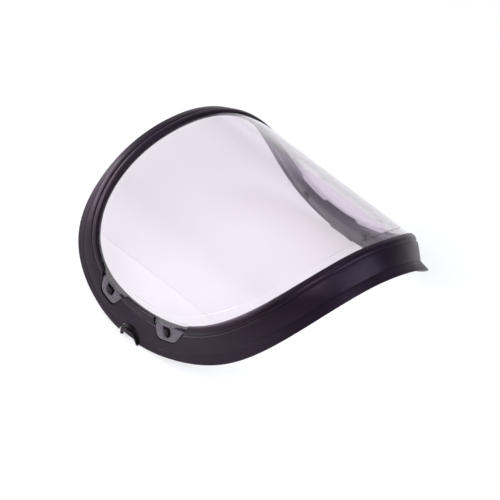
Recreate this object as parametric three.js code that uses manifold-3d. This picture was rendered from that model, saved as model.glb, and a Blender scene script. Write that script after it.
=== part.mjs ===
// Face shield: a clear wrap-around lens in a black moulded frame, hung on two temple pivots.
// Millimetres. The shield lies front upwards: +Z is the way its wearer looks, +Y is the brow,
// -Y is the chin and X runs from temple to temple. The origin is the middle of the base.
import * as THREE from 'three';
import { ParametricGeometry } from 'three/addons/geometries/ParametricGeometry.js';
import { mergeVertices } from 'three/addons/utils/BufferGeometryUtils.js';
import Module from 'manifold-3d';

const wasm = await Module();
wasm.setup();

// Lens: a flat sheet bent round a cylinder whose axis is parallel to Y
const LENS_RADIUS = 112;
const LENS_HALF_WRAP = THREE.MathUtils.degToRad(84.5);
const LENS_THICKNESS = 1.5;
const HALF_WIDTH = LENS_RADIUS * LENS_HALF_WRAP;

// Its outline in the flat: a rounded shape whose temples sit nearer the brow than the chin
const TEMPLE_SHIFT = 40.5;
const BROW_HALF = { height: 114.5, across: 2.5, along: 2.3 };
const CHIN_HALF = { height: 125, across: 2.4, along: 2.05 };

// Frame section, as [outward from the lens edge, down from the lens face]
const SKIRT = {
  chin: { groove: [9, 1.5], step: [21.5, 14.5], rim: [30.8, 17.2] },
  temple: { groove: [9, 1], step: [29, -3.3], rim: [34.5, -4.3] },
  brow: { groove: [8.5, 1.5], step: [14.5, 2.2], rim: [19, 4.1] },
};
const TEMPLE_SPREAD = 4.8;
const CORNER_SWELL = 3.2;
const WALL = 3;
const WALL_END = 2.4;
const LAND = 1.1;
const LEDGE_START = 1.4;
const LEDGE_WALL = 2.4;
const SLOT_DEPTH = 3.4;
const LENS_TUCK = 2.8;
const BEAD_RISE = 1.6;
const BEAD_CORNER = 1.4;
const GAP = 0.35;

// Corners of the section near its groove, as [out, down] from the groove
const BEAD_SHOULDER = -3.2;
const GROOVE_EDGE = [-0.9, -1.4];
const GROOVE_FLOOR = [0, 0.4];
const RIDGE = [1.2, -0.3];
const WALL_ROOT = [-1.5, 1.6];

const GASKET_THICKNESS = 0.6;
const GASKET_START = 1.6;
const GASKET_WIDTH = 1.5;
const FILM_THICKNESS = 0.25;
const FILM_INSET = 9;

const SEAL_LIP = 2.5;
const SEAL_TIP = 1;
const SEAL_MIDDLE = 1.6;
const SEAL_TIP_LEAN = 0.3;

// Ears: tabs of the lens that fold at a scored line and hook over studs in the frame
const EAR_ANGLE = {
  brow: THREE.MathUtils.degToRad(13.8),
  chin: THREE.MathUtils.degToRad(-15.3),
};
const FOLD_OUT = 4.5;
const EAR_ROOT_OVERLAP = 3;
const HOLE_CENTRE = 10.5;
const HOLE_RADIUS = 5;
const EAR_CORNER = 6.5;
const EAR_SHAPES = {
  brow: [[-13.5, 0], [-9.5, 20.5], [9.4, 20.5], [17, 0]],
  chin: [[-14.5, 0], [-14.5, 18.5], [10, 18.5], [29.5, 0]],
};
const POCKET_MARGIN = 0.8;
const POCKET_HEIGHT = 8;

const STUD_RADIUS = 2.2;
const STUD_FLANGE_RADIUS = 4;
const STUD_FLANGE = 1;
const STUD_DEPTH = 7.4;
const STUD_OVERLAP = 0.5;
const STUD_HOLE = { bottom: -12, top: 4 };
const HOOK_RADIUS = 3.4;
const HOOK_RISE = 1.7;

// The hook's nose, as [past the head, above its top]
const NOSE = [[-HOOK_RADIUS, -2.2], [-0.2, -1.3], [1.1, -0.7], [-0.4, 0.3], [-HOOK_RADIUS, 0.3]];
const NOSE_WIDTH = 4.1;

// Temple pivots: both turn about one line parallel to X, below the rim of the frame
const PIVOT_OUT = 37.8;
const PIVOT_TOWARD_BROW = 2.75;
const PIVOT_FACE = 119.8;
const NOTCH_RADIUS = 15.85;

// Saddle: its rounds as [radius, face], and its side view as [x, above the pivot line]
const SADDLE_RADIUS = 15.5;
const SADDLE_FACE = 117.1;
const SADDLE_RIB = { outer: 14.4, inner: 13.5, face: 118.1 };
const SADDLE_RING = 12.6;
const SADDLE_BORE = 10.7;
const SADDLE_SEAT = 116.9;
const SADDLE_BACK = 110;
const SADDLE_SIDE = [[125, 2.6], [118.2, 2.6], [116.3, 5], [112.8, 16], [125, 16]];
const CHEEK_END = 5.3;
const CHEEK_HALF_WIDTH = 9.3;
const STOP = { from: 9.2, to: 11, top: 3.5, setBack: 0.8 };

const BUSH_RADIUS = 10.4;
const BUSH_FLAT = 6.9;
const BUSH_SET_BACK = 0.2;

const AROUND = 96;
const ROUND_SEGMENTS = 40;

function clearSheet(color, roughness, opacity) {
  return new THREE.MeshStandardMaterial({ color, roughness, opacity, transparent: true });
}

const MATERIALS = {
  lens: clearSheet(0xeee6f0, 0.04, 0.3),
  ear: clearSheet(0xb9aebb, 0.12, 0.6),
  film: clearSheet(0xf1e6f2, 0.16, 0.2),
  frame: new THREE.MeshStandardMaterial({ color: 0x2b272e, roughness: 0.42 }),
  seal: new THREE.MeshStandardMaterial({ color: 0x252229, roughness: 0.6 }),
  gasket: new THREE.MeshStandardMaterial({ color: 0x141316, roughness: 0.85 }),
  stud: new THREE.MeshStandardMaterial({ color: 0x17161a, roughness: 0.3 }),
  pivot: new THREE.MeshStandardMaterial({ color: 0x121114, roughness: 0.25 }),
};

// ---- The lens outline and the skirt that runs round it ----

// A point of the flat outline at an angle round it: 0 and pi are the temples, pi/2 is the brow
function outlinePoint(angle, inset = 0) {
  const turn = Math.cos(angle);
  const towardBrow = Math.sin(angle) >= 0;
  const half = towardBrow ? BROW_HALF : CHIN_HALF;
  const bulge = (1 - Math.abs(turn) ** half.across) ** (1 / half.along);
  const rise = (half.height - inset) * bulge * (towardBrow ? 1 : -1);
  return [(HALF_WIDTH - inset) * turn, rise + TEMPLE_SHIFT * turn ** 2];
}

// A point of the flat sheet, bent into place and pushed down by depth
function bend([across, height], depth = 0) {
  const wrap = across / LENS_RADIUS;
  const radius = LENS_RADIUS - depth;
  return new THREE.Vector3(radius * Math.sin(wrap), height, radius * Math.cos(wrap) - LENS_RADIUS);
}

// The directions at the lens edge: outward in the sheet, along the edge, and off the lens face
function edgeFrame(angle) {
  const nearby = 0.001;
  const flat = outlinePoint(angle);
  const wrap = flat[0] / LENS_RADIUS;
  const normal = new THREE.Vector3(Math.sin(wrap), 0, Math.cos(wrap));
  const ahead = bend(outlinePoint(angle + nearby));
  const along = ahead.sub(bend(outlinePoint(angle - nearby))).normalize();
  return { point: bend(flat), outward: along.clone().cross(normal), along, normal };
}

const sum = (a, b) => [a[0] + b[0], a[1] + b[1]];

// The skirt section at an angle round the outline: a mix of the three, wider at the corners
function skirtAt(angle) {
  const { outward } = edgeFrame(angle);
  const temple = Math.abs(Math.cos(angle)) ** TEMPLE_SPREAD;
  const brow = Math.max(outward.y, 0) ** 2 * (1 - temple);
  const chin = 1 - temple - brow;
  const mix = (name) => [0, 1].map((i) => (
    SKIRT.chin[name][i] * chin + SKIRT.temple[name][i] * temple + SKIRT.brow[name][i] * brow
  ));
  const swell = 6.75 * temple * (1 - temple) ** 2 * CORNER_SWELL;
  return { groove: mix('groove'), step: mix('step'), rim: sum(mix('rim'), [swell, 0]) };
}

function move(from, direction, distance) {
  return [from[0] + direction[0] * distance, from[1] + direction[1] * distance];
}

// The unit direction from one section point to another, and the one that points into the shield
function directions(from, to) {
  const length = Math.hypot(to[0] - from[0], to[1] - from[1]);
  const run = [(to[0] - from[0]) / length, (to[1] - from[1]) / length];
  return { run, inward: [-run[1], run[0]] };
}

const LEDGE_DROP = LENS_THICKNESS + GASKET_THICKNESS + 2 * GAP;

function frameSection({ groove, step }) {
  const ridge = sum(groove, RIDGE);
  const { run, inward } = directions(ridge, step);
  const rebate = move(move(step, inward, LAND), run, -SEAL_LIP - GAP);
  return [
    [LEDGE_START, LEDGE_DROP],
    [SLOT_DEPTH, LEDGE_DROP],
    [SLOT_DEPTH, -GAP],
    [0, -GAP],
    [0, -BEAD_RISE / 2],
    [BEAD_CORNER, -BEAD_RISE],
    [groove[0] + BEAD_SHOULDER, -BEAD_RISE],
    sum(groove, GROOVE_EDGE),
    sum(groove, GROOVE_FLOOR),
    ridge,
    step,
    move(step, inward, LAND),
    rebate,
    move(rebate, inward, WALL_END - LAND),
    sum(groove, sum(WALL_ROOT, [0, WALL])),
    [LEDGE_START, LEDGE_DROP + LEDGE_WALL],
  ];
}

function sealSection({ groove, step, rim }) {
  const wall = directions(sum(groove, RIDGE), step);
  const flare = directions(step, rim);
  const top = move(step, wall.run, GAP);
  const inner = move(top, wall.inward, WALL_END);
  const land = move(top, wall.inward, LAND + GAP);
  const middle = [(step[0] + rim[0]) / 2, (step[1] + rim[1]) / 2];
  return [
    top,
    middle,
    rim,
    move(move(rim, flare.inward, SEAL_TIP), flare.run, -SEAL_TIP_LEAN),
    move(middle, flare.inward, SEAL_MIDDLE),
    inner,
    move(inner, wall.run, -SEAL_LIP - GAP),
    move(land, wall.run, -SEAL_LIP - GAP),
    land,
  ];
}

function gasketSection() {
  const top = LENS_THICKNESS + GAP;
  const bottom = top + GASKET_THICKNESS;
  const end = GASKET_START + GASKET_WIDTH;
  return [[GASKET_START, top], [end, top], [end, bottom], [GASKET_START, bottom]];
}

// ---- Closed meshes and solids ----

// Keeps only positions, welds what coincides and drops the triangles that closed up
function weld(geometry) {
  const bare = geometry.clone();
  bare.deleteAttribute('normal');
  bare.deleteAttribute('uv');
  const merged = mergeVertices(bare, 1e-4);
  const index = merged.getIndex().array;
  const kept = [];
  for (let i = 0; i < index.length; i += 3) {
    const [a, b, c] = [index[i], index[i + 1], index[i + 2]];
    if (a !== b && b !== c && c !== a) kept.push(a, b, c);
  }
  merged.setIndex(kept);
  return merged;
}

function solid(geometry) {
  const merged = weld(geometry);
  return new wasm.Manifold(new wasm.Mesh({
    numProp: 3,
    vertProperties: new Float32Array(merged.getAttribute('position').array),
    triVerts: new Uint32Array(merged.getIndex().array),
  }));
}

function fromSolid(manifold) {
  const mesh = manifold.getMesh();
  const geometry = new THREE.BufferGeometry();
  geometry.setAttribute('position', new THREE.BufferAttribute(new Float32Array(mesh.vertProperties), 3));
  geometry.setIndex(Array.from(mesh.triVerts));
  geometry.computeVertexNormals();
  return geometry;
}

// A section carried once round the lens outline
function ring(sectionAt) {
  const rows = [];
  for (let i = 0; i < AROUND; i += 1) {
    const angle = (2 * Math.PI * i) / AROUND;
    const { point, outward, normal } = edgeFrame(angle);
    rows.push(sectionAt(skirtAt(angle)).map(([out, down]) => (
      point.clone().addScaledVector(outward, out).addScaledVector(normal, -down)
    )));
  }
  const count = rows[0].length;
  const surface = (u, v, target) => {
    const row = rows[Math.round(u * AROUND) % AROUND];
    target.copy(row[(count - Math.round(v * count)) % count]);
  };
  return new ParametricGeometry(surface, AROUND, count);
}

// A sheet that follows the lens between two depths, out to the outline less an inset
function bentSheet(top, bottom, inset) {
  const columns = AROUND / 2;
  const corners = [[1, top], [-1, top], [-1, bottom], [1, bottom]];
  const surface = (u, v, target) => {
    const [side, depth] = corners[Math.round(v * corners.length) % corners.length];
    target.copy(bend(outlinePoint(side * Math.PI * u, inset), depth));
  };
  return new ParametricGeometry(surface, columns, corners.length);
}

// A round bar along X
function drum(radius, from, to) {
  const bar = new THREE.CylinderGeometry(radius, radius, to - from, ROUND_SEGMENTS);
  return solid(bar.rotateZ(Math.PI / 2).translate((from + to) / 2, 0, 0));
}

function block(low, high) {
  const size = high.map((value, i) => value - low[i]);
  const middle = high.map((value, i) => (value + low[i]) / 2);
  return solid(new THREE.BoxGeometry(...size).translate(...middle));
}

// ---- Ears and studs, in their own axes: x outward, y along the edge, z off the lens face ----

function place(geometry, angle) {
  const { point, outward, along, normal } = edgeFrame(angle);
  const matrix = new THREE.Matrix4().makeBasis(outward, along, normal).setPosition(point);
  return geometry.clone().applyMatrix4(matrix);
}

// The two side lines of an ear; flip is -1 on the side where the edge runs the other way
function earSides(kind, flip) {
  const [first, second, third, fourth] = EAR_SHAPES[kind].map(
    ([along, out]) => new THREE.Vector2(out, along * flip),
  );
  const at = (a, b) => (out) => a.clone().lerp(b, (out - a.x) / (b.x - a.x));
  return { near: at(first, second), far: at(fourth, third), tip: second.x };
}

// The ear's outline beyond a line across it, grown by a margin
function earOutline(kind, flip, from, margin) {
  const { near, far, tip } = earSides(kind, flip);
  const grow = (point, side) => point.add(new THREE.Vector2(0, side * margin * flip));
  const path = [
    grow(near(from), -1),
    grow(near(tip + margin), -1),
    grow(far(tip + margin), 1),
    grow(far(from), 1),
  ];
  const shape = new THREE.Shape();
  shape.moveTo(path[0].x, path[0].y);
  for (const i of [1, 2]) {
    const into = path[i].clone().sub(path[i - 1]).setLength(EAR_CORNER);
    const away = path[i + 1].clone().sub(path[i]).setLength(EAR_CORNER);
    shape.lineTo(path[i].x - into.x, path[i].y - into.y);
    shape.quadraticCurveTo(path[i].x, path[i].y, path[i].x + away.x, path[i].y + away.y);
  }
  shape.lineTo(path[3].x, path[3].y);
  return shape;
}

// A D with its flat side towards the lens
function letterD(radius, centre) {
  const shape = new THREE.Shape();
  shape.moveTo(centre - radius, -radius);
  shape.lineTo(centre, -radius);
  shape.absarc(centre, 0, radius, -Math.PI / 2, Math.PI / 2, false);
  shape.lineTo(centre - radius, radius);
  return shape;
}

function slab(shape, bottom, top, curveSegments = 4) {
  const geometry = new THREE.ExtrudeGeometry(shape, {
    depth: top - bottom, bevelEnabled: false, curveSegments, steps: 1,
  });
  return geometry.translate(0, 0, bottom);
}

function earPlate(kind, flip) {
  const shape = earOutline(kind, flip, FOLD_OUT + GAP / 2, 0);
  shape.holes.push(letterD(HOLE_RADIUS, HOLE_CENTRE));
  return slab(shape, -LENS_THICKNESS, 0);
}

// The part of the tab between the lens edge and the scored line, which stays with the lens
function earRoot(kind, flip) {
  const { near, far } = earSides(kind, flip);
  const scored = FOLD_OUT - GAP / 2;
  const corners = [near(-EAR_ROOT_OVERLAP), near(scored), far(scored), far(-EAR_ROOT_OVERLAP)];
  return slab(new THREE.Shape(corners), -LENS_THICKNESS, 0);
}

function earPocket(kind, flip) {
  return slab(
    earOutline(kind, flip, -EAR_ROOT_OVERLAP, POCKET_MARGIN),
    -LENS_THICKNESS - GAP,
    POCKET_HEIGHT,
  );
}

function studShank(radius, bottom, top) {
  const shank = new THREE.CylinderGeometry(radius, radius, top - bottom, 20);
  return shank.rotateX(Math.PI / 2).translate(HOLE_CENTRE, 0, (top + bottom) / 2);
}

function hookStud() {
  const seat = -LENS_THICKNESS;
  const nose = new THREE.Shape(NOSE.map(
    ([past, above]) => new THREE.Vector2(HOLE_CENTRE + HOOK_RADIUS + past, HOOK_RISE + above),
  ));
  const hook = new THREE.ExtrudeGeometry(nose, { depth: NOSE_WIDTH, bevelEnabled: false, steps: 1 });
  hook.rotateX(Math.PI / 2).translate(0, NOSE_WIDTH / 2, 0);
  return fromSolid(
    solid(studShank(STUD_RADIUS, -STUD_DEPTH, seat + STUD_OVERLAP))
      .add(solid(studShank(STUD_FLANGE_RADIUS, -STUD_DEPTH, -STUD_DEPTH + STUD_FLANGE)))
      .add(solid(slab(letterD(HOOK_RADIUS, HOLE_CENTRE), seat, HOOK_RISE)))
      .add(solid(hook)),
  );
}

// ---- Temple pivots, built for the right side about X and turned round for the left ----

const templeFrame = edgeFrame(0);
const PIVOT_Y = templeFrame.point.y + PIVOT_TOWARD_BROW;
const PIVOT_Z = templeFrame.point.z + templeFrame.outward.z * PIVOT_OUT;

function atPivot(manifold, side) {
  const placed = fromSolid(manifold);
  if (side < 0) placed.rotateZ(Math.PI);
  return placed.translate(0, PIVOT_Y, PIVOT_Z);
}

// All that lies inside the saddle's side view
function saddleEnvelope() {
  const outline = new THREE.Shape(SADDLE_SIDE.map(([x, z]) => new THREE.Vector2(x, z)));
  const depth = 3 * SADDLE_RADIUS;
  const prism = new THREE.ExtrudeGeometry(outline, { depth, bevelEnabled: false });
  return solid(prism.rotateX(Math.PI / 2).translate(0, depth / 2, 0));
}

function saddle(side) {
  let body = drum(SADDLE_RADIUS, SADDLE_BACK, SADDLE_FACE)
    .add(drum(SADDLE_RIB.outer, SADDLE_BACK, SADDLE_RIB.face))
    .subtract(drum(SADDLE_RIB.inner, SADDLE_FACE, PIVOT_FACE))
    .add(drum(SADDLE_RING, SADDLE_BACK, PIVOT_FACE))
    .subtract(drum(SADDLE_BORE, SADDLE_SEAT, PIVOT_FACE + 1))
    .subtract(block(
      [SADDLE_BACK - 1, -CHEEK_HALF_WIDTH, -SADDLE_RADIUS],
      [PIVOT_FACE + 1, CHEEK_HALF_WIDTH, CHEEK_END],
    ));
  for (const [from, to] of [[STOP.from, STOP.to], [-STOP.to, -STOP.from]]) {
    body = body.add(block([SADDLE_SEAT, from, 0], [PIVOT_FACE - STOP.setBack, to, STOP.top]));
  }
  return atPivot(body.intersect(saddleEnvelope()), side);
}

// A half-moon with its flat side down
function bush(side) {
  const round = drum(BUSH_RADIUS, SADDLE_SEAT + GAP, PIVOT_FACE - BUSH_SET_BACK);
  const upper = block([SADDLE_BACK, -BUSH_RADIUS, BUSH_FLAT], [PIVOT_FACE, BUSH_RADIUS, 2 * BUSH_RADIUS]);
  return atPivot(round.intersect(upper), side);
}

function notchCutter(side) {
  const reach = 15;
  return solid(atPivot(drum(NOTCH_RADIUS, PIVOT_FACE - 2 * reach, PIVOT_FACE + reach), side));
}

// ---- The assembly ----

const EARS = [];
for (const kind of ['brow', 'chin']) {
  for (const [name, side] of [['left', -1], ['right', 1]]) {
    const angle = EAR_ANGLE[kind];
    EARS.push({
      kind,
      name: `${kind}_${name}`,
      angle: side > 0 ? angle : Math.PI - angle,
      flip: -side,
    });
  }
}

function frameShell() {
  let shell = solid(ring(frameSection));
  for (const { kind, angle, flip } of EARS) {
    shell = shell.subtract(solid(place(earPocket(kind, flip), angle)));
    const hole = studShank(STUD_RADIUS + GAP, STUD_HOLE.bottom, STUD_HOLE.top);
    shell = shell.subtract(solid(place(hole, angle)));
  }
  return fromSolid(shell.subtract(notchCutter(-1)).subtract(notchCutter(1)));
}

// The rubber edge is two strips, which end at the pivots
function rimSeal(towardBrow) {
  const size = 500;
  const halfSpace = new THREE.BoxGeometry(size, size, size);
  halfSpace.translate(0, PIVOT_Y + (towardBrow * size) / 2, 0);
  const strip = solid(ring(sealSection)).intersect(solid(halfSpace));
  return fromSolid(strip.subtract(notchCutter(-1)).subtract(notchCutter(1)));
}

function lensSheet() {
  let lens = solid(bentSheet(0, LENS_THICKNESS, -LENS_TUCK));
  for (const { kind, angle, flip } of EARS) {
    lens = lens.add(solid(place(earRoot(kind, flip), angle)));
  }
  return fromSolid(lens);
}

function named(name, geometry, material) {
  const mesh = new THREE.Mesh(geometry, material);
  mesh.name = name;
  return mesh;
}

const shield = new THREE.Group();
shield.add(named('frame_shell', frameShell(), MATERIALS.frame));
shield.add(named('rim_seal_brow', rimSeal(1), MATERIALS.seal));
shield.add(named('rim_seal_chin', rimSeal(-1), MATERIALS.seal));
shield.add(named('lens_gasket', fromSolid(solid(ring(gasketSection))), MATERIALS.gasket));
shield.add(named('lens', lensSheet(), MATERIALS.lens));
const film = bentSheet(-GAP - FILM_THICKNESS, -GAP, FILM_INSET);
shield.add(named('protective_film', fromSolid(solid(film)), MATERIALS.film));
for (const { kind, name, angle, flip } of EARS) {
  shield.add(named(`lens_ear_${name}`, place(weld(earPlate(kind, flip)), angle), MATERIALS.ear));
  shield.add(named(`hook_stud_${name}`, place(hookStud(), angle), MATERIALS.stud));
}
for (const [name, side] of [['left', -1], ['right', 1]]) {
  shield.add(named(`pivot_saddle_${name}`, saddle(side), MATERIALS.pivot));
  shield.add(named(`pivot_bush_${name}`, bush(side), MATERIALS.pivot));
}

// The base of the shield is the pivot line, and the box is centred in Y
const box = new THREE.Box3().setFromObject(shield);
shield.position.set(0, -(box.min.y + box.max.y) / 2, -box.min.z);

const model = new THREE.Group();
model.add(shield);

export default model;
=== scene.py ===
"""Looks of a face shield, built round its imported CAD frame.

A clear lens is bent round a cylinder that is parallel to Y. A black frame with a rubber rim runs
round its edge, four ears of the lens hook over studs in the frame, and a half-round pivot sits in
each temple. Everything is in metres, in the frame of the CAD model. Sections of the frame are given
as (out, down): outward in the lens sheet from the lens edge, and down from the lens face.
"""
import math

import bmesh
import bpy
from mathutils import Matrix, Vector


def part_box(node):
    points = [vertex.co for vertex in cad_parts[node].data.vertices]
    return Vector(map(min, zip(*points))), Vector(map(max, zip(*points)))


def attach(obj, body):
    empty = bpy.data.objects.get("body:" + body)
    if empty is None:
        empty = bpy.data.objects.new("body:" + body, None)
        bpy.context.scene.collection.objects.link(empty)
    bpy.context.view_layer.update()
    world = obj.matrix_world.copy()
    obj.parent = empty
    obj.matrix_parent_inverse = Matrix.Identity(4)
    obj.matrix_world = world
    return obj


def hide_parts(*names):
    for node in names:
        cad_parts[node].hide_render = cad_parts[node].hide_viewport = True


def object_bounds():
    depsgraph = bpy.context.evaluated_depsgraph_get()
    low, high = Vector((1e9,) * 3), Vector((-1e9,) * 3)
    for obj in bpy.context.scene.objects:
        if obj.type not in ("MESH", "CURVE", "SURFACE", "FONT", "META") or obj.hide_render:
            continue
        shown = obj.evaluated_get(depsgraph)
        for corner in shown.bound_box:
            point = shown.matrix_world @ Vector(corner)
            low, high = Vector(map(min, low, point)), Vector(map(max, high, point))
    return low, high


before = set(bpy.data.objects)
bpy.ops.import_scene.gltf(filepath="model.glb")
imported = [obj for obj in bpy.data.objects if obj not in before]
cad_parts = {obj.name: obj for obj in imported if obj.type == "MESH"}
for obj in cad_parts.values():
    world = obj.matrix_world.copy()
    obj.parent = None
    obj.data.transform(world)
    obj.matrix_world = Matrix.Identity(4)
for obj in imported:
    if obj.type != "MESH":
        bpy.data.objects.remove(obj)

cad_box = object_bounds()

# ---- Sizes ----

LENS_RADIUS = 0.112
HALF_WIDTH = LENS_RADIUS * math.radians(84.5)
LENS_THICKNESS = 0.0015
TEMPLE_SHIFT = 0.0405
BROW_HALF = {"height": 0.1145, "across": 2.5, "along": 2.3}
CHIN_HALF = {"height": 0.125, "across": 2.4, "along": 2.05}

SKIRT = {
    "chin": {"groove": (0.009, 0.0015), "step": (0.0215, 0.0145), "rim": (0.0308, 0.0172)},
    "temple": {"groove": (0.009, 0.001), "step": (0.029, -0.0033), "rim": (0.0345, -0.0043)},
    "brow": {"groove": (0.0085, 0.0015), "step": (0.0145, 0.0022), "rim": (0.019, 0.0041)},
}
TEMPLE_SPREAD = 4.8
CORNER_SWELL = 0.0032
SWELL_PEAK = 4 / 27  # the highest value of t * (1 - t) ** 2
WALL = 0.003
WALL_END = 0.0024
LAND = 0.0011
WALL_CROWN = 0.0003
LEDGE_START = 0.0014
LEDGE_WALL = 0.0024
SLOT_DEPTH = 0.0034
LENS_TUCK = 0.0028
BEAD_RISE = 0.0016
GAP = 0.00035
RIDGE = Vector((0.0012, -0.0003))

GASKET_THICKNESS = 0.0006
GASKET_START = 0.0016
GASKET_WIDTH = 0.0015
LEDGE_DROP = LENS_THICKNESS + GASKET_THICKNESS + 2 * GAP
FILM_THICKNESS = 0.00025
FILM_INSET = 0.009

SEAM = 0.0001
SEAL_LIP = 0.0025
SEAL_TIP = 0.001
SEAL_MIDDLE = 0.0016

SIDES = (("left", -1), ("right", 1))
EAR_ANGLE = {"brow": math.radians(13.8), "chin": math.radians(-15.3)}
FOLD_OUT = 0.0045
EAR_ROOT_OVERLAP = 0.003
EAR_CORNER = 0.0065
HOLE_CENTRE = 0.0105
HOLE_RADIUS = 0.005
EAR_SHAPES = {  # [near root, near tip, far tip, far root], each as (along, out)
    "brow": [(-0.0135, 0), (-0.0095, 0.0205), (0.0094, 0.0205), (0.017, 0)],
    "chin": [(-0.0145, 0), (-0.0145, 0.0185), (0.010, 0.0185), (0.0295, 0)],
}
POCKET_MARGIN = 0.0011  # wide enough for an ear to lift past the pocket's sides
POCKET_HEIGHT = 0.008
SHANK_HOLE = (-0.012, 0.004)  # from and to, off the lens face

STUD_RADIUS = 0.0022
STUD_FLANGE_RADIUS = 0.004
STUD_FLANGE = 0.001
STUD_DEPTH = 0.0074
SHANK_OVERLAP = 0.0005
HOOK_RADIUS = 0.0034
HOOK_RISE = 0.0017
NOSE = [  # (past the hook's rim, above its top)
    (-HOOK_RADIUS, -0.0022), (-0.0002, -0.0013), (0.0011, -0.0007), (-0.0004, 0.0003),
    (-HOOK_RADIUS, 0.0003),
]
NOSE_WIDTH = 0.0041

NOTCH_RADIUS = 0.01585
SADDLE_RADIUS = 0.0155
SADDLE_RIB = 0.0144
SADDLE_GROOVE = 0.0135
SADDLE_RING = 0.0126
SADDLE_BORE = 0.0107
SADDLE_DEPTH = 0.01
FLOOR_BELOW_FACE = 0.0027
RIB_BELOW_FACE = 0.0017
CUT_PAST = 0.001  # how far a cutter stands past what it cuts
SADDLE_SIDE = [  # (inward of the outer face, above the legs' ends)
    (-0.004, 0), (0.0016, 0), (0.0035, 0.0024), (0.007, 0.0134), (-0.004, 0.0134),
]
LEG_END = 0.0026
CHEEK_HALF_WIDTH = 0.0093
CHEEK_RISE = 0.0027
STOP_INNER = 0.0092
STOP_OUTER = 0.011
STOP_BELOW_FACE = 0.0008
STOP_RISE = 0.0009
BUSH_RADIUS = 0.0104
PIVOT_TRIM = 0.05  # wider than any pivot piece
WELL_BELOW = 0.02  # deeper than any pivot piece

LENS_ROUND = 0.0002
FILM_ROUND = 0.00001
EAR_ROUND = 0.00018
FINE_ROUND = 0.0002
EDGE_ROUND = 0.0003
STUD_ROUND = 0.0004
RING_ROUND = 0.0005

BEND_STEPS = 4
AROUND = 420
LENS_COLUMNS = 150
AROUND_PIVOT = 128
EVEN_SHARE = 0.55  # of the lens columns' spacing; the rest crowds towards the temples
SHEET_SHARP = math.radians(12)

# ---- Places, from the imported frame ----

lens_low, lens_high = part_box("lens")
APEX_Z = lens_high[2]
CENTRE_Y = lens_low[1] + CHIN_HALF["height"] + LENS_TUCK
_, saddle_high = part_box("pivot_saddle_right")
bush_low, bush_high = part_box("pivot_bush_right")
PIVOT_FACE = saddle_high[0]
PIVOT_Y = (bush_low[1] + bush_high[1]) / 2
PIVOT_Z = bush_high[2] - BUSH_RADIUS


# ---- The lens outline and the skirt round it ----

def outline_point(angle, inset=0.0):
    """A point of the flat lens outline: 0 and pi are the temples, pi/2 is the brow."""
    turn = math.cos(angle)
    toward_brow = math.sin(angle) >= 0
    half = BROW_HALF if toward_brow else CHIN_HALF
    bulge = max(1 - abs(turn) ** half["across"], 0) ** (1 / half["along"])
    rise = (half["height"] - inset) * bulge * (1 if toward_brow else -1)
    return (HALF_WIDTH - inset) * turn, rise + TEMPLE_SHIFT * turn ** 2


def bend(flat, depth=0.0):
    """A point of the flat sheet, bent round the cylinder and pushed down by depth."""
    wrap = flat[0] / LENS_RADIUS
    radius = LENS_RADIUS - depth
    return Vector((
        radius * math.sin(wrap),
        CENTRE_Y + flat[1],
        APEX_Z - LENS_RADIUS + radius * math.cos(wrap),
    ))


def edge_frame(angle):
    """The lens edge at an angle: its point, and unit vectors outward, along it and off the face."""
    nearby = 0.001
    flat = outline_point(angle)
    wrap = flat[0] / LENS_RADIUS
    normal = Vector((math.sin(wrap), 0, math.cos(wrap)))
    ahead = bend(outline_point(angle + nearby))
    along = (ahead - bend(outline_point(angle - nearby))).normalized()
    return bend(flat), along.cross(normal), along, normal


def edge_matrix(angle):
    """Turns x, y, z into outward, along the edge and off the face, at the lens edge."""
    point, outward, along, normal = edge_frame(angle)
    turn = Matrix((outward, along, normal)).transposed().to_4x4()
    return Matrix.Translation(point) @ turn


def skirt_at(angle):
    """The groove, step and rim of the frame's section at an angle round the outline."""
    outward = edge_frame(angle)[1]
    temple = abs(math.cos(angle)) ** TEMPLE_SPREAD
    brow = max(outward.y, 0) ** 2 * (1 - temple)
    shares = {"temple": temple, "brow": brow, "chin": 1 - temple - brow}
    groove, step, rim = (
        sum((Vector(SKIRT[zone][place]) * share for zone, share in shares.items()), Vector((0, 0)))
        for place in ("groove", "step", "rim")
    )
    rim.x += CORNER_SWELL * temple * (1 - temple) ** 2 / SWELL_PEAK
    return groove, step, rim


def even_angles(count):
    """Angles round the outline whose points are evenly spaced along it."""
    samples = 4000
    angles = [2 * math.pi * i / samples for i in range(samples + 1)]
    points = [bend(outline_point(angle)) for angle in angles]
    lengths = [0.0]
    for first, second in zip(points, points[1:]):
        lengths.append(lengths[-1] + (second - first).length)
    picked, place = [], 0
    for i in range(count):
        wanted = lengths[-1] * i / count
        while lengths[place + 1] < wanted:
            place += 1
        share = (wanted - lengths[place]) / (lengths[place + 1] - lengths[place])
        picked.append(angles[place] + share * (angles[1] - angles[0]))
    return picked


def run_and_inward(start, end):
    """Unit vectors from one section point to another, and to the inside of the shield."""
    run = (end - start).normalized()
    return run, Vector((-run.y, run.x))


def corner(point, radius, shift=(0.0, 0.0)):
    return Vector((point[0] + shift[0], point[1] + shift[1])), radius


def rounded(corners):
    """Points of a closed outline of (point, radius) corners, as many on each bend."""
    points = []
    for i, (at, radius) in enumerate(corners):
        before = corners[i - 1][0] - at
        after = corners[(i + 1) % len(corners)][0] - at
        start = at + before.normalized() * min(radius, 0.45 * before.length)
        end = at + after.normalized() * min(radius, 0.45 * after.length)
        for k in range(BEND_STEPS + 1):
            t = k / BEND_STEPS
            points.append(start.lerp(at, t).lerp(at.lerp(end, t), t))
    return points


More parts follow.
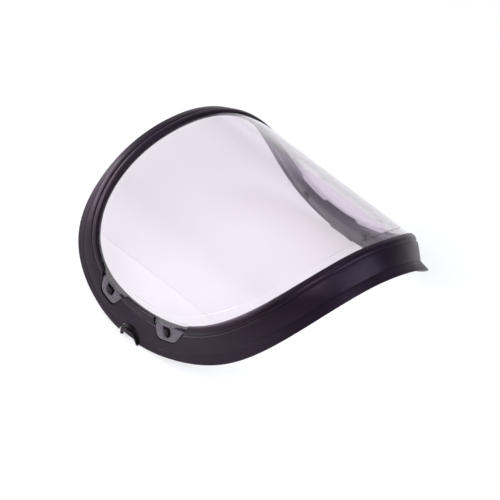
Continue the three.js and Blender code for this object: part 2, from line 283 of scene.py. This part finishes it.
def frame_section(angle):
    groove, step, _ = skirt_at(angle)
    ridge = groove + RIDGE
    run, inward = run_and_inward(ridge, step)
    rebate = step + inward * LAND - run * (SEAL_LIP + GAP)
    crown = (ridge + step) / 2 - inward * WALL_CROWN
    return rounded([
        corner((LEDGE_START, LEDGE_DROP), 0.0002),
        corner((SLOT_DEPTH, LEDGE_DROP), 0.0001),
        corner((SLOT_DEPTH, -GAP), 0.0001),
        corner((0, -GAP), 0.0002),
        corner((0, -BEAD_RISE / 2), 0.0004),
        corner((0.0014, -BEAD_RISE), 0.001),
        corner((groove.x - 0.0032, -BEAD_RISE), 0.0018),
        corner(groove, 0.0009, (-0.0009, -0.0014)),
        corner(groove, 0.0006, (0, 0.0004)),
        corner(ridge, 0.0004),
        corner(crown, 0.003),
        corner(step, 0.0003),
        corner(step + inward * LAND, 0.0002),
        corner(rebate, 0.0002),
        corner(rebate + inward * (WALL_END - LAND), 0.0003),
        corner(groove, 0.0015, (-0.0015, WALL + 0.0016)),
        corner((LEDGE_START, LEDGE_DROP + LEDGE_WALL), 0.0006),
    ])


def seal_section(angle):
    groove, step, rim = skirt_at(angle)
    run, inward = run_and_inward(groove + RIDGE, step)
    flare_run, flare_inward = run_and_inward(step, rim)
    top = step + run * SEAM
    inner = top + inward * WALL_END
    land = top + inward * (LAND + GAP)
    middle = (step + rim) / 2
    back = -run * (SEAL_LIP + SEAM)
    return rounded([
        corner(top, 0.0003),
        corner(middle, 0.003),
        corner(rim, 0.0005),
        corner(rim + flare_inward * SEAL_TIP - flare_run * 0.0003, 0.0004),
        corner(middle + flare_inward * SEAL_MIDDLE, 0.003),
        corner(inner, 0.0003),
        corner(inner + back, 0.0003),
        corner(land + back, 0.0002),
        corner(land, 0.0002),
    ])


def gasket_section(_):
    top = LENS_THICKNESS + GAP
    end = GASKET_START + GASKET_WIDTH
    return rounded([
        corner((GASKET_START, top), 0.0002),
        corner((end, top), 0.0002),
        corner((end, top + GASKET_THICKNESS), 0.0002),
        corner((GASKET_START, top + GASKET_THICKNESS), 0.0002),
    ])


# ---- Meshes ----

def piece(name, verts, faces):
    """A new closed mesh object with its faces pointing out."""
    mesh = bpy.data.meshes.new(name)
    mesh.from_pydata([tuple(v) for v in verts], [], faces)
    work = bmesh.new()
    work.from_mesh(mesh)
    bmesh.ops.remove_doubles(work, verts=work.verts, dist=1e-7)
    bmesh.ops.recalc_face_normals(work, faces=work.faces)
    if work.calc_volume(signed=True) < 0:
        bmesh.ops.reverse_faces(work, faces=work.faces)
    work.to_mesh(mesh)
    work.free()
    obj = bpy.data.objects.new(name, mesh)
    bpy.context.scene.collection.objects.link(obj)
    return obj


def loft(name, rows, ends="capped"):
    """A solid through rows of points, with its ends capped, joined to each other or shrunk shut."""
    size = len(rows[0])
    verts = [point for row in rows for point in row]
    faces = []
    for i in range(len(rows) if ends == "joined" else len(rows) - 1):
        near, far = i * size, (i + 1) % len(rows) * size
        for j in range(size):
            k = (j + 1) % size
            faces.append((near + j, near + k, far + k, far + j))
    if ends == "capped":
        faces.append(tuple(range(size)))
        faces.append(tuple(range(len(verts) - size, len(verts))))
    return piece(name, verts, faces)


def ring(name, section):
    """A section carried once round the lens outline."""
    rows = []
    for angle in even_angles(AROUND):
        point, outward, _, normal = edge_frame(angle)
        rows.append([point + outward * at.x - normal * at.y for at in section(angle)])
    return loft(name, rows, ends="joined")


def prism(name, outline, bottom, top, bevel=0.0):
    """An outline in x and y, as an upright solid with softened edges."""
    kept = []
    for at in outline:
        if not kept or (at - kept[-1]).length > 1e-6:
            kept.append(at)
    obj = loft(name, [[(at.x, at.y, z) for at in kept] for z in (bottom, top)])
    soften(obj, bevel)
    return obj


def soften(obj, width):
    """Rounds the sharp edges of a piece."""
    if not width:
        return
    steps, above = 2, math.radians(50)
    work = bmesh.new()
    work.from_mesh(obj.data)
    edges = [edge for edge in work.edges if edge.is_manifold and edge.calc_face_angle() > above]
    bmesh.ops.bevel(work, geom=edges, offset=width, segments=steps, profile=0.5,
                    affect="EDGES", clamp_overlap=True)
    work.to_mesh(obj.data)
    work.free()


def combine(obj, other, operation):
    """Joins, cuts or trims obj by another piece, which is used up."""
    modifier = obj.modifiers.new(operation, "BOOLEAN")
    modifier.operation = operation
    modifier.solver = "MANIFOLD"
    modifier.object = other
    graph = bpy.context.evaluated_depsgraph_get()
    result = bpy.data.meshes.new_from_object(obj.evaluated_get(graph))
    obj.modifiers.clear()
    obj.data = result
    bpy.data.objects.remove(other)


def smooth(obj, sharp=math.radians(38)):
    obj.data.shade_smooth()
    obj.data.set_sharp_from_angle(angle=sharp)


def bent_sheet(name, top, bottom, inset, edge_round):
    """A closed sheet that follows the lens between two depths, with rounded edges."""
    half = []
    for i in range(LENS_COLUMNS + 1):
        t = i / LENS_COLUMNS
        crowded = (1 - math.cos(math.pi * t)) / 2
        half.append(math.pi * (EVEN_SHARE * t + (1 - EVEN_SHARE) * crowded))
    middle = (top + bottom) / 2
    shoulder = 0.3 * edge_round
    levels = [
        (inset + edge_round, top),
        (inset + shoulder, top + shoulder),
        (inset, top + edge_round),
        (inset, middle),
        (inset, bottom - edge_round),
        (inset + shoulder, bottom - shoulder),
        (inset + edge_round, bottom),
    ]
    rows = []
    for angle in half:
        brow = [bend(outline_point(angle, level), depth) for level, depth in levels]
        chin = [bend(outline_point(-angle, level), depth) for level, depth in reversed(levels)]
        rows.append(brow + chin)
    return loft(name, rows, ends="shut")


# ---- Frame, seals, gasket, lens and film ----

EARS = [
    {
        "name": f"{kind}_{side_name}",
        "kind": kind,
        "angle": EAR_ANGLE[kind] if side > 0 else math.pi - EAR_ANGLE[kind],
        "flip": -side,
    }
    for kind in ("brow", "chin")
    for side_name, side in SIDES
]


def ear_outline(kind, flip, start, margin, bend_length):
    """The outline of an ear beyond a line across it, grown by a margin."""
    (near_root, _), (near_tip, tip), (far_tip, _), (far_root, _) = EAR_SHAPES[kind]

    def near(out):
        return near_root + (near_tip - near_root) * out / tip - margin

    def far(out):
        return far_root + (far_tip - far_root) * out / tip + margin

    end = tip + margin
    return rounded([
        corner((start, near(start) * flip), 0),
        corner((end, near(end) * flip), bend_length),
        corner((end, far(end) * flip), bend_length),
        corner((start, far(start) * flip), 0),
    ])


def letter_d(radius, centre, steps=24):
    """A D with its flat side towards the lens."""
    points = [Vector((centre - radius, -radius))]
    for i in range(steps + 1):
        turn = math.pi * (i / steps - 0.5)
        points.append(Vector((centre + radius * math.cos(turn), radius * math.sin(turn))))
    points.append(Vector((centre - radius, radius)))
    return points


def full_turn(steps):
    return [2 * math.pi * i / steps for i in range(steps)]


def round_points(centre, radius, steps=32):
    return [
        Vector((centre + radius * math.cos(turn), radius * math.sin(turn)))
        for turn in full_turn(steps)
    ]


def at_edge(obj, angle):
    """Puts a piece made in (outward, along, off the face) at the lens edge."""
    obj.data.transform(edge_matrix(angle))
    return obj


def drum(name, radius, start, end, side):
    """A round bar about the pivot line, between two distances from the middle."""
    rows = []
    for x in (start, end):
        rows.append([
            (side * x, PIVOT_Y + radius * math.cos(turn), PIVOT_Z + radius * math.sin(turn))
            for turn in full_turn(AROUND_PIVOT)
        ])
    return loft(name, rows)


def notch_cutter(side):
    inward, outward = 0.03, 0.015
    return drum("notch", NOTCH_RADIUS, PIVOT_FACE - inward, PIVOT_FACE + outward, side)


def half_space(toward_brow):
    """A block that holds everything on one side of the pivot line."""
    size = 0.5
    near, far = sorted((PIVOT_Y, PIVOT_Y + toward_brow * size))
    square = [Vector(at) for at in ((-size, near), (size, near), (size, far), (-size, far))]
    return prism("half", square, -size, size)


def make_frame():
    shell = ring("shield_frame", frame_section)
    for ear in EARS:
        outline = ear_outline(ear["kind"], ear["flip"], -EAR_ROOT_OVERLAP, POCKET_MARGIN, EAR_CORNER)
        pocket = prism("pocket", outline, -LENS_THICKNESS - GAP, POCKET_HEIGHT)
        combine(shell, at_edge(pocket, ear["angle"]), "DIFFERENCE")
        hole = prism("hole", round_points(HOLE_CENTRE, STUD_RADIUS + GAP), *SHANK_HOLE)
        combine(shell, at_edge(hole, ear["angle"]), "DIFFERENCE")
    for _, side in SIDES:
        combine(shell, notch_cutter(side), "DIFFERENCE")
    smooth(shell)
    return shell


def make_seal(name, toward_brow):
    strip = ring(name, seal_section)
    combine(strip, half_space(toward_brow), "INTERSECT")
    for _, side in SIDES:
        combine(strip, notch_cutter(side), "DIFFERENCE")
    smooth(strip)
    return strip


def make_lens():
    lens = bent_sheet("shield_lens", 0, LENS_THICKNESS, -LENS_TUCK, LENS_ROUND)
    for ear in EARS:
        outline = ear_outline(ear["kind"], ear["flip"], -EAR_ROOT_OVERLAP, 0, 0)
        scored = FOLD_OUT - GAP / 2
        root = [Vector((min(at.x, scored), at.y)) for at in outline]
        combine(lens, at_edge(prism("root", root, -LENS_THICKNESS, 0), ear["angle"]), "UNION")
    smooth(lens, SHEET_SHARP)
    return lens


def make_ear(ear):
    outline = ear_outline(ear["kind"], ear["flip"], FOLD_OUT + GAP / 2, 0, EAR_CORNER)
    plate = prism(f"ear_{ear['name']}", outline, -LENS_THICKNESS, 0)
    combine(plate, prism("hole", letter_d(HOLE_RADIUS, HOLE_CENTRE), -1, 1), "DIFFERENCE")
    soften(plate, EAR_ROUND)
    smooth(plate)
    return at_edge(plate, ear["angle"])


def make_stud(ear):
    seat = -LENS_THICKNESS
    stud = prism(f"stud_{ear['name']}", letter_d(HOOK_RADIUS, HOLE_CENTRE), seat, HOOK_RISE, STUD_ROUND)
    shank = prism("shank", round_points(HOLE_CENTRE, STUD_RADIUS), -STUD_DEPTH, seat + SHANK_OVERLAP)
    combine(stud, shank, "UNION")
    flange = prism("flange", round_points(HOLE_CENTRE, STUD_FLANGE_RADIUS), -STUD_DEPTH,
                   STUD_FLANGE - STUD_DEPTH, FINE_ROUND)
    combine(stud, flange, "UNION")
    rows = [
        [(HOLE_CENTRE + HOOK_RADIUS + past, y, HOOK_RISE + above) for past, above in NOSE]
        for y in (-NOSE_WIDTH / 2, NOSE_WIDTH / 2)
    ]
    nose = loft("nose", rows)
    soften(nose, EDGE_ROUND)
    combine(stud, nose, "UNION")
    smooth(stud)
    return at_edge(stud, ear["angle"])


# ---- Temple pivots ----

def upright(name, outline, width):
    """An outline of (x, z) points as a solid along Y, centred on the pivots."""
    rows = [[(x, PIVOT_Y + y, z) for x, z in outline] for y in (-width / 2, width / 2)]
    return loft(name, rows)


def box_outline(side, across, other):
    """The corners of a box, where across is measured from the middle towards one side."""
    (near, far), (low, high) = across, other
    return [(side * near, low), (side * far, low), (side * far, high), (side * near, high)]


def make_saddle(name, side):
    """A half-round holder with a rib, a groove and a raised ring on its outer face."""
    seat = bush_low[0] - GAP
    back = PIVOT_FACE - SADDLE_DEPTH
    front = PIVOT_FACE + CUT_PAST
    base = PIVOT_Z + LEG_END
    saddle = drum(name, SADDLE_RADIUS, back, PIVOT_FACE - FLOOR_BELOW_FACE, side)
    soften(saddle, EDGE_ROUND)
    rib = drum("rib", SADDLE_RIB, back, PIVOT_FACE - RIB_BELOW_FACE, side)
    soften(rib, FINE_ROUND)
    combine(saddle, rib, "UNION")
    groove = drum("groove", SADDLE_GROOVE, PIVOT_FACE - FLOOR_BELOW_FACE, front, side)
    soften(groove, FINE_ROUND)
    combine(saddle, groove, "DIFFERENCE")
    face = drum("ring", SADDLE_RING, back, PIVOT_FACE, side)
    soften(face, RING_ROUND)
    combine(saddle, face, "UNION")
    combine(saddle, drum("bore", SADDLE_BORE, seat, front, side), "DIFFERENCE")
    rise = (base - WELL_BELOW, base + CHEEK_RISE)
    outline = box_outline(side, (back - CUT_PAST, front), rise)
    combine(saddle, upright("opening", outline, 2 * CHEEK_HALF_WIDTH), "DIFFERENCE")
    for end in (-1, 1):
        along = (PIVOT_Y + end * STOP_INNER, PIVOT_Y + end * STOP_OUTER)
        corners = [Vector(at) for at in box_outline(side, (seat, PIVOT_FACE - STOP_BELOW_FACE), along)]
        combine(saddle, prism("stop", corners, base - CUT_PAST, base + STOP_RISE), "UNION")
    outline = [(side * (PIVOT_FACE - inward), base + rise) for inward, rise in SADDLE_SIDE]
    combine(saddle, upright("envelope", outline, PIVOT_TRIM), "INTERSECT")
    smooth(saddle)
    return saddle


def make_bush(name, side):
    """A half-moon with its flat side down."""
    bush = drum(name, BUSH_RADIUS, bush_low[0], bush_high[0], side)
    across = (bush_low[0] - CUT_PAST, bush_high[0] + CUT_PAST)
    outline = box_outline(side, across, (bush_low[2], bush_high[2] + CUT_PAST))
    combine(bush, upright("upper", outline, PIVOT_TRIM), "INTERSECT")
    soften(bush, EDGE_ROUND)
    smooth(bush)
    return bush


# ---- Materials ----

def material(name):
    made = bpy.data.materials.new(name)
    made.use_nodes = True
    shader = made.node_tree.nodes["Principled BSDF"]
    return made, made.node_tree, shader


def node(tree, kind, inputs=(), **settings):
    """A new node with some of its settings, input values and links."""
    made = tree.nodes.new(kind)
    for key, value in settings.items():
        setattr(made, key, value)
    for key, value in dict(inputs).items():
        if isinstance(value, bpy.types.NodeSocket):
            tree.links.new(value, made.inputs[key])
        else:
            made.inputs[key].default_value = value
    return made


def noise(tree, scale, detail=3.0, stretch=(1, 1, 1)):
    """Noise fixed to the piece, with scale in features a metre."""
    place = node(tree, "ShaderNodeTexCoord").outputs["Object"]
    mapped = node(tree, "ShaderNodeMapping", {"Vector": place, "Scale": stretch}).outputs[0]
    return node(tree, "ShaderNodeTexNoise", {
        "Vector": mapped, "Scale": scale, "Detail": detail,
    }).outputs[0]


def spread(tree, value, low, high, start=0.35, end=0.65):
    """Maps the middle of a noise onto a range."""
    return node(tree, "ShaderNodeMapRange", {
        "Value": value, "From Min": start, "From Max": end, "To Min": low, "To Max": high,
    }).outputs[0]


def tint(tree, factor, first, second):
    """A blend of two colours."""
    made = node(tree, "ShaderNodeMix", data_type="RGBA")
    tree.links.new(factor, made.inputs[0])
    made.inputs[6].default_value = (*first, 1)
    made.inputs[7].default_value = (*second, 1)
    return made.outputs[2]


def bump(tree, height, distance, strength):
    return node(tree, "ShaderNodeBump", {
        "Height": height, "Distance": distance, "Strength": strength,
    }).outputs[0]


PLASTIC_SHINE = 0.22
PLASTIC_SHEEN = (1.0, 0.66, 1.0, 1)


def moulded_plastic(name, dark, light, rough, grain, edge_wear=0.12):
    """Black moulded plastic: cloudy sheen, fine spark-eroded grain and paler edges."""
    made, tree, shader = material(name)
    clouds = noise(tree, 22, detail=4)
    edges = node(tree, "ShaderNodeNewGeometry").outputs["Pointiness"]
    worn = spread(tree, edges, 0, edge_wear, start=0.52, end=0.6)
    cloudy = spread(tree, clouds, 0, 0.5)
    factor = node(tree, "ShaderNodeMath", {0: cloudy, 1: worn}, operation="ADD")
    tree.links.new(tint(tree, factor.outputs[0], dark, light), shader.inputs["Base Color"])
    handled = noise(tree, 60, detail=5)
    tree.links.new(spread(tree, handled, rough - 0.04, rough + 0.05), shader.inputs["Roughness"])
    fine = bump(tree, noise(tree, grain, detail=2), distance=0.00001, strength=0.3)
    tree.links.new(fine, shader.inputs["Normal"])
    shader.inputs["Specular IOR Level"].default_value = PLASTIC_SHINE
    shader.inputs["Specular Tint"].default_value = PLASTIC_SHEEN
    return made


def clear_sheet(name, colour, rough, ior, shadow, shine=0.5):
    """Clear sheet with faint smears; lamps shine through it, dimmed to the shadow colour."""
    made, tree, shader = material(name)
    shader.inputs["Transmission Weight"].default_value = 1.0
    shader.inputs["IOR"].default_value = ior
    shader.inputs["Specular IOR Level"].default_value = shine
    paler = tuple(min(1.0, channel * 1.01) for channel in colour)
    patches = spread(tree, noise(tree, 9, detail=2), 0, 1)
    tree.links.new(tint(tree, patches, colour, paler), shader.inputs["Base Color"])
    smears = noise(tree, 14, detail=4, stretch=(1.6, 0.5, 1))
    tree.links.new(spread(tree, smears, rough * 0.6, rough * 1.6), shader.inputs["Roughness"])
    lamp_ray = node(tree, "ShaderNodeLightPath").outputs["Is Shadow Ray"]
    passing = node(tree, "ShaderNodeBsdfTransparent", {"Color": (*shadow, 1)}).outputs[0]
    mix = node(tree, "ShaderNodeMixShader", {0: lamp_ray, 1: shader.outputs[0], 2: passing})
    tree.links.new(mix.outputs[0], tree.nodes["Material Output"].inputs["Surface"])
    return made


FRAME_PLASTIC = moulded_plastic(
    "frame_plastic", dark=(0.007, 0.0038, 0.0078), light=(0.0115, 0.0062, 0.0125),
    rough=0.36, grain=4200,
)
RIM_RUBBER = moulded_plastic(
    "rim_rubber", dark=(0.0065, 0.0038, 0.0078), light=(0.0115, 0.0066, 0.013),
    rough=0.4, grain=2600,
)
GASKET_FOAM = moulded_plastic(
    "gasket_foam", dark=(0.004, 0.004, 0.0045), light=(0.009, 0.009, 0.01),
    rough=0.8, grain=1500, edge_wear=0.0,
)
STUD_PLASTIC = moulded_plastic(
    "stud_plastic", dark=(0.004, 0.0035, 0.0045), light=(0.01, 0.009, 0.011),
    rough=0.3, grain=3000,
)
PIVOT_PLASTIC = moulded_plastic(
    "pivot_plastic", dark=(0.002, 0.002, 0.0022), light=(0.006, 0.006, 0.007),
    rough=0.2, grain=2500,
)
LENS_CLEAR = clear_sheet(
    "lens_clear", colour=(0.80, 0.755, 0.79), rough=0.004, ior=1.58,
    shadow=(0.93, 0.915, 0.935),
)
FILM_CLEAR = clear_sheet(
    "film_clear", colour=(0.99, 0.98, 0.99), rough=0.012, ior=1.14,
    shadow=(0.97, 0.955, 0.965), shine=0.2,
)


def ear_sheet():
    """The lens sheet of the ears, frosted by handling and dark from the black pocket behind it."""
    made, tree, shader = material("ear_frosted")
    shader.inputs["IOR"].default_value = 1.5
    cloud = spread(tree, noise(tree, 160, detail=4), 0, 1)
    colour = tint(tree, cloud, (0.085, 0.066, 0.092), (0.115, 0.092, 0.125))
    tree.links.new(colour, shader.inputs["Base Color"])
    tree.links.new(spread(tree, noise(tree, 220), 0.26, 0.36), shader.inputs["Roughness"])
    tree.links.new(spread(tree, noise(tree, 120), 0.1, 0.2), shader.inputs["Transmission Weight"])
    return made


EAR_FROSTED = ear_sheet()


# ---- The pieces, each on its body ----

def finish_piece(obj, surface, slot, body, *nodes):
    """Gives a piece its material and puts it on its body in place of CAD nodes; the slot is not used.
    """
    obj.data.materials.clear()
    obj.data.materials.append(surface)
    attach(obj, body)
    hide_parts(*nodes)


def fixed(obj, surface, slot, node_name):
    finish_piece(obj, surface, slot, "visor", node_name)


fixed(make_frame(), FRAME_PLASTIC, "frame_plastic", "frame_shell")
fixed(make_seal("rim_rubber_brow", 1), RIM_RUBBER, "rim_rubber", "rim_seal_brow")
fixed(make_seal("rim_rubber_chin", -1), RIM_RUBBER, "rim_rubber", "rim_seal_chin")
gasket = ring("gasket_strip", gasket_section)
smooth(gasket)
fixed(gasket, GASKET_FOAM, "gasket_foam", "lens_gasket")
fixed(make_lens(), LENS_CLEAR, "lens_clear", "lens")
film = bent_sheet("film_sheet", -GAP - FILM_THICKNESS, -GAP, FILM_INSET, FILM_ROUND)
smooth(film, SHEET_SHARP)
fixed(film, FILM_CLEAR, "film_clear", "protective_film")
for ear in EARS:
    name = ear["name"]
    finish_piece(make_ear(ear), EAR_FROSTED, "lens_clear", f"ear_{name}", f"lens_ear_{name}")
    fixed(make_stud(ear), STUD_PLASTIC, "stud_plastic", f"hook_stud_{name}")
for name, side in SIDES:
    fixed(make_saddle(f"saddle_{name}", side), PIVOT_PLASTIC, "pivot_plastic", f"pivot_saddle_{name}")
    finish_piece(make_bush(f"turning_bush_{name}", side), PIVOT_PLASTIC, "pivot_plastic",
                 f"bush_{name}", f"pivot_bush_{name}")


# ---- Floor, light and camera ----

def make_floor():
    size = 6.0
    floor = piece("floor", [(-size, -size, 0), (size, -size, 0), (size, size, 0), (-size, size, 0)],
                  [(0, 1, 2, 3)])
    floor.location.z = cad_box[0][2]
    made, tree, shader = material("floor_paper")
    shader.inputs["Roughness"].default_value = 0.9
    shader.inputs["Specular IOR Level"].default_value = 0.1
    shader.inputs["Emission Color"].default_value = (1, 1, 1, 1)
    shader.inputs["Emission Strength"].default_value = 0.5
    paper = tint(tree, noise(tree, 3, detail=2), (0.5, 0.5, 0.5), (0.52, 0.52, 0.52))
    tree.links.new(paper, shader.inputs["Base Color"])
    floor.data.materials.append(made)


ROOM_LIGHT = 0.15
GLOWS = [  # soft glows of the room: (direction, cosine where it starts, strength)
    ((-0.76, 0.65, 0.05), 0.8, 0.9),
    ((0.05, 0.7, 0.7), 0.7, 0.6),
    ((0.77, 0.63, 0), 0.955, 0.45),
    ((0.8, 0.5, 0.3), 0.75, 0.35),
]


def make_world():
    world = bpy.data.worlds.new("studio")
    world.use_nodes = True
    bpy.context.scene.world = world
    tree = world.node_tree
    background = tree.nodes["Background"]
    background.inputs["Color"].default_value = (0.93, 0.84, 1.0, 1)
    direction = node(tree, "ShaderNodeTexCoord").outputs["Generated"]
    strength = ROOM_LIGHT
    for toward, start, glow in GLOWS:
        closeness = node(tree, "ShaderNodeVectorMath", {0: direction, 1: toward},
                         operation="DOT_PRODUCT")
        rise = node(tree, "ShaderNodeMapRange", {
            "Value": closeness.outputs["Value"], "From Min": start, "From Max": 1.0, "To Max": glow,
        }, interpolation_type="SMOOTHSTEP")
        total = node(tree, "ShaderNodeMath", {0: rise.outputs[0], 1: strength}, operation="ADD")
        strength = total.outputs[0]
    tree.links.new(strength, background.inputs["Strength"])


def area_light(name, place, width, height, power, colour=(1, 1, 1)):
    """A soft panel that faces the shield."""
    target = Vector((0, 0, 0.08))
    data = bpy.data.lights.new(name, "AREA")
    data.shape = "RECTANGLE"
    data.size, data.size_y = width, height
    data.energy = power
    data.color = colour
    lamp = bpy.data.objects.new(name, data)
    lamp.location = place
    lamp.rotation_mode = "QUATERNION"
    lamp.rotation_quaternion = (Vector(place) - target).to_track_quat("Z", "Y")
    lamp.visible_camera = False
    bpy.context.scene.collection.objects.link(lamp)


def make_camera():
    azimuth, elevation, roll = math.radians(-37.36), math.radians(37.3), math.radians(-1.15)
    focal, sensor, view_width = 1200.0, 36.0, 0.43328
    back = Vector((
        math.sin(azimuth) * math.cos(elevation),
        -math.cos(azimuth) * math.cos(elevation),
        math.sin(elevation),
    ))
    right = Vector((math.cos(azimuth), math.sin(azimuth), 0))
    up = back.cross(right)
    right, up = (
        math.cos(roll) * right + math.sin(roll) * up,
        math.cos(roll) * up - math.sin(roll) * right,
    )
    apex = Vector((0, CENTRE_Y, APEX_Z))
    left_of_apex, below_apex = 0.013, 0.0564
    aim = apex - left_of_apex * right - below_apex * up
    data = bpy.data.cameras.new("camera")
    data.lens, data.sensor_width = focal, sensor
    camera = bpy.data.objects.new("camera", data)
    turn = Matrix((right, up, back)).transposed().to_4x4()
    camera.matrix_world = Matrix.Translation(aim + back * (view_width * focal / sensor)) @ turn
    bpy.context.scene.collection.objects.link(camera)
    bpy.context.scene.camera = camera


make_floor()
make_world()
area_light("key", (-1.2, -1.3, 1.8), 1.4, 1.4, 30)
area_light("fill", (0.7, -1.9, 1.15), 1.8, 1.0, 28, (0.75, 0.93, 1.0))
area_light("rim_strip", (-0.65, 1.55, 0.55), 1.3, 0.25, 20)
area_light("low_left", (-1.2, 1.36, 0.24), 0.12, 0.3, 4)
area_light("top", (0, -0.2, 2.2), 0.9, 0.9, 9, (0.85, 0.9, 1.0))
make_camera()
bpy.context.scene.view_settings.view_transform = "Standard"
bpy.context.scene.cycles.max_bounces = 20
bpy.context.scene.cycles.transmission_bounces = 20
bpy.context.scene.cycles.transparent_max_bounces = 24
